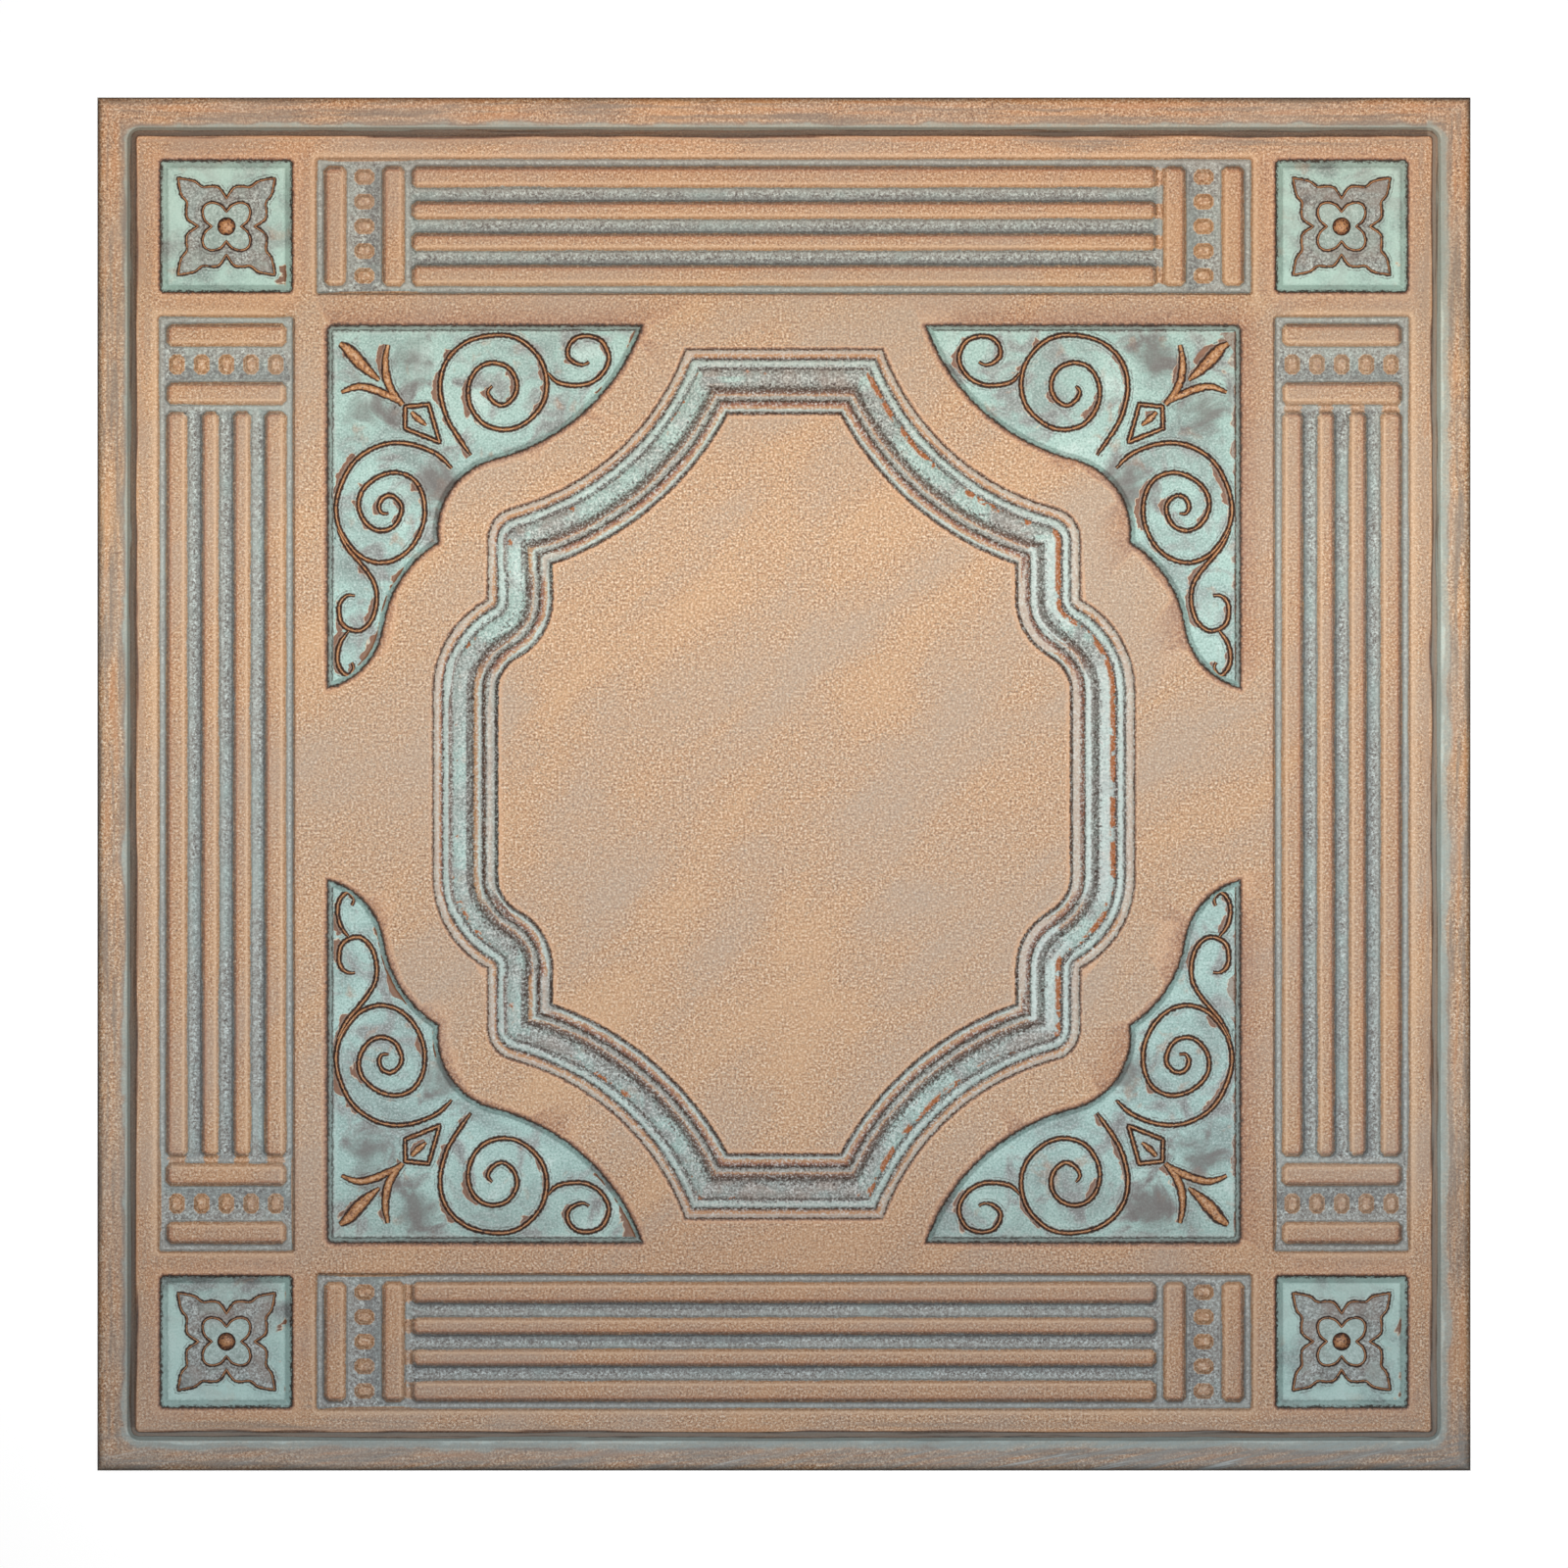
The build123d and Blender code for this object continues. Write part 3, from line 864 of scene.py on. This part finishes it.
relief = {
    "step": 1.0,  # along the ridges
    "flowerStep": 0.8,
    "foot": 1.05,  # half width of a ridge where it meets the floor
    "flowerFoot": 0.7,
    "rise": 1.05,
    "taper": 6.0,  # a ridge thins over this length to its ends
    "thinEnd": 0.45,  # share of the half width that is left there
    "skirt": (0.1, 0.01),  # past the section, to bring the floor's paint up to it: least width, rise
    "leafCopper": 2.2,  # a leaf is copper nearly to its edge
    "flakes": 3.4,  # how far from a ridge the verdigris has come off
    "plate": 0.3,  # the star stands this high on its floor
    "clear": 9.0,  # stands for the distance from a ridge where there is none
    "ball": 4.1,
    "ballFlat": 0.45,
    "ballCopper": 0.95,
}

# Section of a ridge, from its outside to its crest: share of the half width, millimetres beyond it, rise
ridgeSection = [
    (1.0, 1.6, 0.02), (1.0, 0.4, 0.05), (1.0, 0.0, 0.1), (0.66, 0.0, 0.55), (0.36, 0.0, 0.92),
]

# One spandrel, in millimetres inward and down from its outer corner
scrolls = [
    [
        (63.0, 57.1), (58.0, 50.0), (53.1, 42.1), (50.4, 34.2), (49.4, 27.2), (50.6, 19.3), (55.1, 11.9),
        (63.0, 6.5), (73.8, 4.3), (82.7, 5.5), (89.7, 10.4), (94.6, 17.4), (96.3, 26.3), (94.6, 34.2),
        (89.7, 40.6), (82.7, 45.0), (75.3, 45.7), (68.4, 43.1), (63.5, 37.1), (61.7, 30.2), (63.0, 23.3),
        (66.9, 18.3), (72.9, 16.4), (78.8, 18.3), (82.2, 22.3), (83.2, 27.2), (81.3, 32.2), (76.8, 35.2),
        (72.4, 33.2), (70.4, 29.2), (72.4, 26.7),
    ],
    [
        (96.6, 20.8), (100.5, 24.8), (106.5, 26.3), (113.4, 26.0), (119.3, 22.8), (123.0, 17.4),
        (123.3, 12.4), (120.3, 7.0), (114.9, 4.8), (109.4, 5.5), (106.0, 8.9), (105.5, 13.4),
        (108.4, 16.4), (112.4, 17.4), (114.9, 16.1),
    ],
    [
        (54.6, 62.8), (49.1, 57.4), (42.2, 53.9), (35.3, 52.0), (28.4, 51.7), (21.4, 53.4), (14.5, 57.4),
        (9.6, 62.8), (6.1, 69.8), (4.1, 76.7), (3.8, 83.0), (5.6, 90.0), (9.6, 96.5), (14.5, 101.4),
        (21.4, 104.1), (28.4, 103.4), (34.3, 99.9), (39.2, 94.0), (42.2, 86.6), (42.7, 79.6), (41.2, 72.7),
        (37.3, 67.3), (31.3, 64.8), (25.4, 65.3), (19.5, 68.3), (15.0, 73.2), (13.7, 79.6), (16.0, 85.6),
        (20.4, 89.5), (25.4, 90.0), (29.8, 87.6), (32.3, 82.6), (32.3, 78.7), (29.8, 75.7), (26.9, 74.7),
        (23.9, 76.2), (22.6, 79.6), (23.9, 82.6), (26.9, 82.6),
    ],
    [
        (4.4, 89.5), (8.6, 97.5), (13.5, 103.4), (17.5, 108.3), (20.5, 113.3), (21.6, 118.2), (21.2, 124.2),
        (19.0, 130.1), (14.5, 134.0), (9.6, 133.5), (6.1, 130.6), (5.1, 126.1), (5.6, 121.7), (8.6, 118.7),
        (12.1, 118.7),
    ],
    [(9.6, 133.9), (5.9, 138.9), (4.3, 145.3), (5.4, 150.6), (8.9, 153.9), (11.6, 150.6), (10.6, 148.0)],
]
kite = [
    (34.2, 35.8), (34.2, 35.8), (44.4, 34.7), (44.4, 34.7),
    (49.2, 51.4), (49.2, 51.4), (34.0, 45.3), (34.0, 45.3),
]

# Leaves: where each runs, and half widths along it
leaves = [
    ([(5.4, 8.0), (9.0, 10.6), (13.0, 15.0), (17.5, 19.6), (22.8, 24.2)], [0.9, 2.9, 2.9, 1.9, 0.5]),
    ([(33.0, 35.0), (28.4, 29.0), (26.0, 23.0), (25.4, 15.4), (26.6, 8.6)], [1.1, 1.7, 1.9, 1.5, 0.8]),
    ([(32.0, 33.6), (26.0, 30.6), (19.5, 28.0), (13.0, 27.0), (6.0, 29.4)], [1.1, 1.7, 1.8, 1.5, 0.6]),
    ([(36.8, 38.0), (39.0, 40.4), (43.4, 44.0)], [0.7, 1.5, 0.4]),
]

# Rosette: an eighth of each outline, from the upright axis to the diagonal
starEighth = [
    (0, 12.2), (0, 12.2), (3.2, 16.8), (6.6, 17.5),
    (10.6, 17.3), (14.2, 19.8), (21.2, 21.2), (21.2, 21.2),
]
petalEighth = [(0, 6.3), (0, 6.3), (2.6, 9.3), (6.3, 10.4), (9.3, 9.3)]


def smoothLine(points, closed, step):
    # Even points along a smooth line; a point given twice is a sharp corner
    count = len(points)
    made = []
    for i in range(count if closed else count - 1):
        if closed:
            p = [Vector(points[(i + k) % count]) for k in (-1, 0, 1, 2)]
        else:
            p = [Vector(points[min(max(i + k, 0), count - 1)]) for k in (-1, 0, 1, 2)]
        length = (p[2] - p[1]).length
        if length < 1e-6:
            continue
        parts = max(2, int(length / step))
        for k in range(parts):
            t = k / parts
            bend = (2 * p[0] - 5 * p[1] + 4 * p[2] - p[3]) * t * t
            twist = (3 * p[1] - p[0] - 3 * p[2] + p[3]) * t * t * t
            made.append((2 * p[1] + (p[2] - p[0]) * t + bend + twist) / 2)
    if not closed:
        made.append(Vector(points[-1]))
    return made


def halfWidth(i, count, closed, widths, foot):
    # Of a ridge at one of its points
    if widths:
        place = i / (count - 1) * (len(widths) - 1)
        low = min(int(place), len(widths) - 2)
        return widths[low] + (widths[low + 1] - widths[low]) * (place - low)
    if closed:
        return foot
    reach = min(i, count - 1 - i) * relief["step"]
    taper = min(relief["taper"], (count - 1) * relief["step"] / 2)
    thin = relief["thinEnd"]
    return foot * (thin + (1 - thin) * min(1.0, reach / taper))


def addRidge(bm, line, floor, closed=False, widths=None, foot=relief["foot"], flakes=0.0, plate=0.0):
    # Rounded ridge on a floor: its section is extruded from point to point along the line
    ridge = bmesh.new()
    layers = {name: ridge.verts.layers.float.new(name) for name in reliefLayers}
    count = len(line)
    least, skirtRise = relief["skirt"]
    section = [(1.0, max(flakes, ridgeSection[0][1] + least), skirtRise)] + ridgeSection
    sides = [(-1, *part) for part in section] + [(1, 0.0, 0.0, 1.0)]
    sides += [(1, *part) for part in reversed(section)]
    row, edges = [], []
    for i in range(count + 1 if closed else count):
        point = line[i % count]
        before = line[i - 1] if closed or i else line[0]
        after = line[(i + 1) % count] if closed or i < count - 1 else line[-1]
        along = (after - before).normalized()
        left = Vector((-along.y, along.x))
        half = halfWidth(i, count, closed, widths, foot)
        height = relief["rise"] * min(1.0, half / relief["foot"])
        if row:
            made = bmesh.ops.extrude_edge_only(ridge, edges=edges)["geom"]
            new = {part for part in made if isinstance(part, bmesh.types.BMVert)}
            row = [next(e.other_vert(v) for e in v.link_edges if e.other_vert(v) in new) for v in row]
        else:
            row = [ridge.verts.new() for side in sides]
            for pair in zip(row, row[1:]):
                ridge.edges.new(pair)
        edges = [ridge.edges.get(pair) for pair in zip(row, row[1:])]
        for vert, (side, share, beyond, rise) in zip(row, sides):
            spot = point + left * side * (half * share + beyond)
            vert.co = (spot.x * mm, spot.y * mm, (floor + rise * height) * mm)
            inward = (share - 1.0) * (relief["leafCopper"] if widths else 1.0)
            vert[layers["off"]] = beyond if beyond else max(-1.0, inward)
            facesLeft = min(1.0, max(0.0, -left.x * side - 0.5) * 4) if flakes else 0.0
            vert[layers["flake"]] = facesLeft * max(0.0, 1.0 - beyond / max(flakes, 1.0))
            vert[layers["plate"]] = plate
    mesh = bpy.data.meshes.new("ridge")
    ridge.to_mesh(mesh)
    ridge.free()
    bm.from_mesh(mesh)
    bpy.data.meshes.remove(mesh)


def startRelief():
    bm = bmesh.new()
    for name in reliefLayers:
        bm.verts.layers.float.new(name)
    return bm


def finishRelief(bm, name, paint):
    bmesh.ops.remove_doubles(bm, verts=bm.verts, dist=1e-7)
    for face in bm.faces:
        face.smooth = True
    bm.normal_update()
    bmesh.ops.reverse_faces(bm, faces=[f for f in bm.faces if f.normal.z < 0])
    mesh = bpy.data.meshes.new(name)
    bm.to_mesh(mesh)
    bm.free()
    piece = bpy.data.objects.new(name, mesh)
    bpy.context.scene.collection.objects.link(piece)
    mesh.materials.append(paint)
    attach(piece, "root")
    print(name, "built", len(mesh.polygons))


def spandrelLine(points, sideX, sideY, closed=False):
    # A line given from the outer corner of a spandrel, laid in one of the four
    cornerX, cornerY = sheet["spandrelCorner"]
    placed = [(sideX * (cornerX - u), sideY * (cornerY - v)) for u, v in points]
    return smoothLine(placed, closed, relief["step"])


def buildScrolls(paint):
    bm = startRelief()
    floor, flakes = sheet["spandrelFloor"], relief["flakes"]
    for sides in ((-1, -1), (-1, 1), (1, -1), (1, 1)):
        for scroll in scrolls:
            addRidge(bm, spandrelLine(scroll, *sides), floor, flakes=flakes)
        addRidge(bm, spandrelLine(kite, *sides, closed=True), floor, True)
        for run, widths in leaves:
            addRidge(bm, spandrelLine(run, *sides), floor, False, widths, flakes=flakes)
    finishRelief(bm, "spandrel_scrolls", paint)


def allRound(eighth):
    # The whole outline from an eighth of it
    quarter = eighth + [(y, x) for x, y in reversed(eighth)][1:]
    ring = []
    for cos, sin in ((1, 0), (0, -1), (-1, 0), (0, 1)):
        ring += [(cos * x - sin * y, sin * x + cos * y) for x, y in quarter[:-1]]
    return ring


def buildFlowers(paint):
    bm = startRelief()
    ends = (-sheet["borderCentre"], sheet["borderCentre"])
    radius = relief["ball"] * mm
    plates = [(starEighth, 0.0, 1.0), (petalEighth, 1.0, 0.45)]  # patina beside the ridge, and within it
    for cx in ends:
        for cy in ends:
            floor = sheet["rosetteFloor"]
            for eighth, beside, within in plates:
                outline = [(cx + x, cy + y) for x, y in allRound(eighth)]
                line = smoothLine(outline, True, relief["flowerStep"])
                addRidge(bm, line, floor, True, foot=relief["flowerFoot"], plate=beside)
                floor += relief["plate"]
                # Taken again here, because a ridge that is joined in renews them
                layers = {name: bm.verts.layers.float[name] for name in reliefLayers}
                verts = [bm.verts.new((p.x * mm, p.y * mm, floor * mm)) for p in line]
                for vert in verts:
                    vert[layers["plate"]] = within
                    vert[layers["off"]] = relief["clear"]
                bm.faces.new(verts)
            ball = bmesh.ops.create_uvsphere(bm, u_segments=24, v_segments=12, radius=radius)
            for vert in ball["verts"]:
                vert[layers["off"]] = -max(0.0, vert.co.z / radius) * relief["ballCopper"]
                vert.co.z = max(vert.co.z, 0.0) * relief["ballFlat"]
                vert.co += Vector((cx * mm, cy * mm, floor * mm))
    finishRelief(bm, "rosette_flowers", paint)


buildSheet()
paint = reliefPaint()
buildScrolls(paint)
buildFlowers(paint)

# Stage: pale floor, a soft lamp near the camera's axis, camera straight above

stage = {
    "floorSide": 6.0,
    "floorDrop": 0.3,  # millimetres below the flange
    "floorGlow": 0.14,  # seen, but sheds no light on the tile
    "lampPlace": (0.05, 0.03, 1.6),
    "lampSize": 0.4,
    "lampPower": 22.6,
    "worldLevel": 0.22,
    "cameraHeight": 8.0,
    "pictureWidth": 0.689,
}

floorMesh = bpy.data.meshes.new("floor")
bm = bmesh.new()
bmesh.ops.create_grid(bm, x_segments=1, y_segments=1, size=stage["floorSide"] / 2)
bmesh.ops.translate(bm, verts=bm.verts, vec=(0, 0, -stage["floorDrop"] * mm))
bm.to_mesh(floorMesh)
bm.free()
floor = bpy.data.objects.new("floor", floorMesh)
bpy.context.scene.collection.objects.link(floor)
paleBoard = bpy.data.materials.new("paleBoard")
paleBoard.use_nodes = True
tree = paleBoard.node_tree
shader = tree.nodes["Principled BSDF"]
shader.inputs["Base Color"].default_value = linear("#F4F4F4")
shader.inputs["Roughness"].default_value = 0.9
shader.inputs["Emission Color"].default_value = (1, 1, 1, 1)
rays = addNode(tree, "LightPath").node.outputs
seen = addNode(tree, "Math", {0: rays["Is Camera Ray"], 1: rays["Is Glossy Ray"]}, operation="MAXIMUM")
seen = addNode(tree, "Math", {0: seen, 1: rays["Is Transmission Ray"]}, operation="MAXIMUM")
glow = addNode(tree, "Math", {0: seen, 1: stage["floorGlow"]}, operation="MULTIPLY")
tree.links.new(glow, shader.inputs["Emission Strength"])
floorMesh.materials.append(paleBoard)

world = bpy.data.worlds.new("studio")
bpy.context.scene.world = world
world.use_nodes = True
world.node_tree.nodes["Background"].inputs["Color"].default_value = (1, 1, 1, 1)
world.node_tree.nodes["Background"].inputs["Strength"].default_value = stage["worldLevel"]

lamp = bpy.data.lights.new("softbox", "AREA")
lamp.shape = "DISK"
lamp.size = stage["lampSize"]
lamp.energy = stage["lampPower"]
lampObject = bpy.data.objects.new("softbox", lamp)
lampObject.location = stage["lampPlace"]
bpy.context.scene.collection.objects.link(lampObject)

camera = bpy.data.cameras.new("camera")
camera.lens = camera.sensor_width * stage["cameraHeight"] / stage["pictureWidth"]
cameraObject = bpy.data.objects.new("camera", camera)
cameraObject.location = (0, 0, stage["cameraHeight"])
bpy.context.scene.collection.objects.link(cameraObject)
bpy.context.scene.camera = cameraObject
bpy.context.scene.view_settings.view_transform = "Standard"
print("stage set")

bpy.context.view_layer.update()
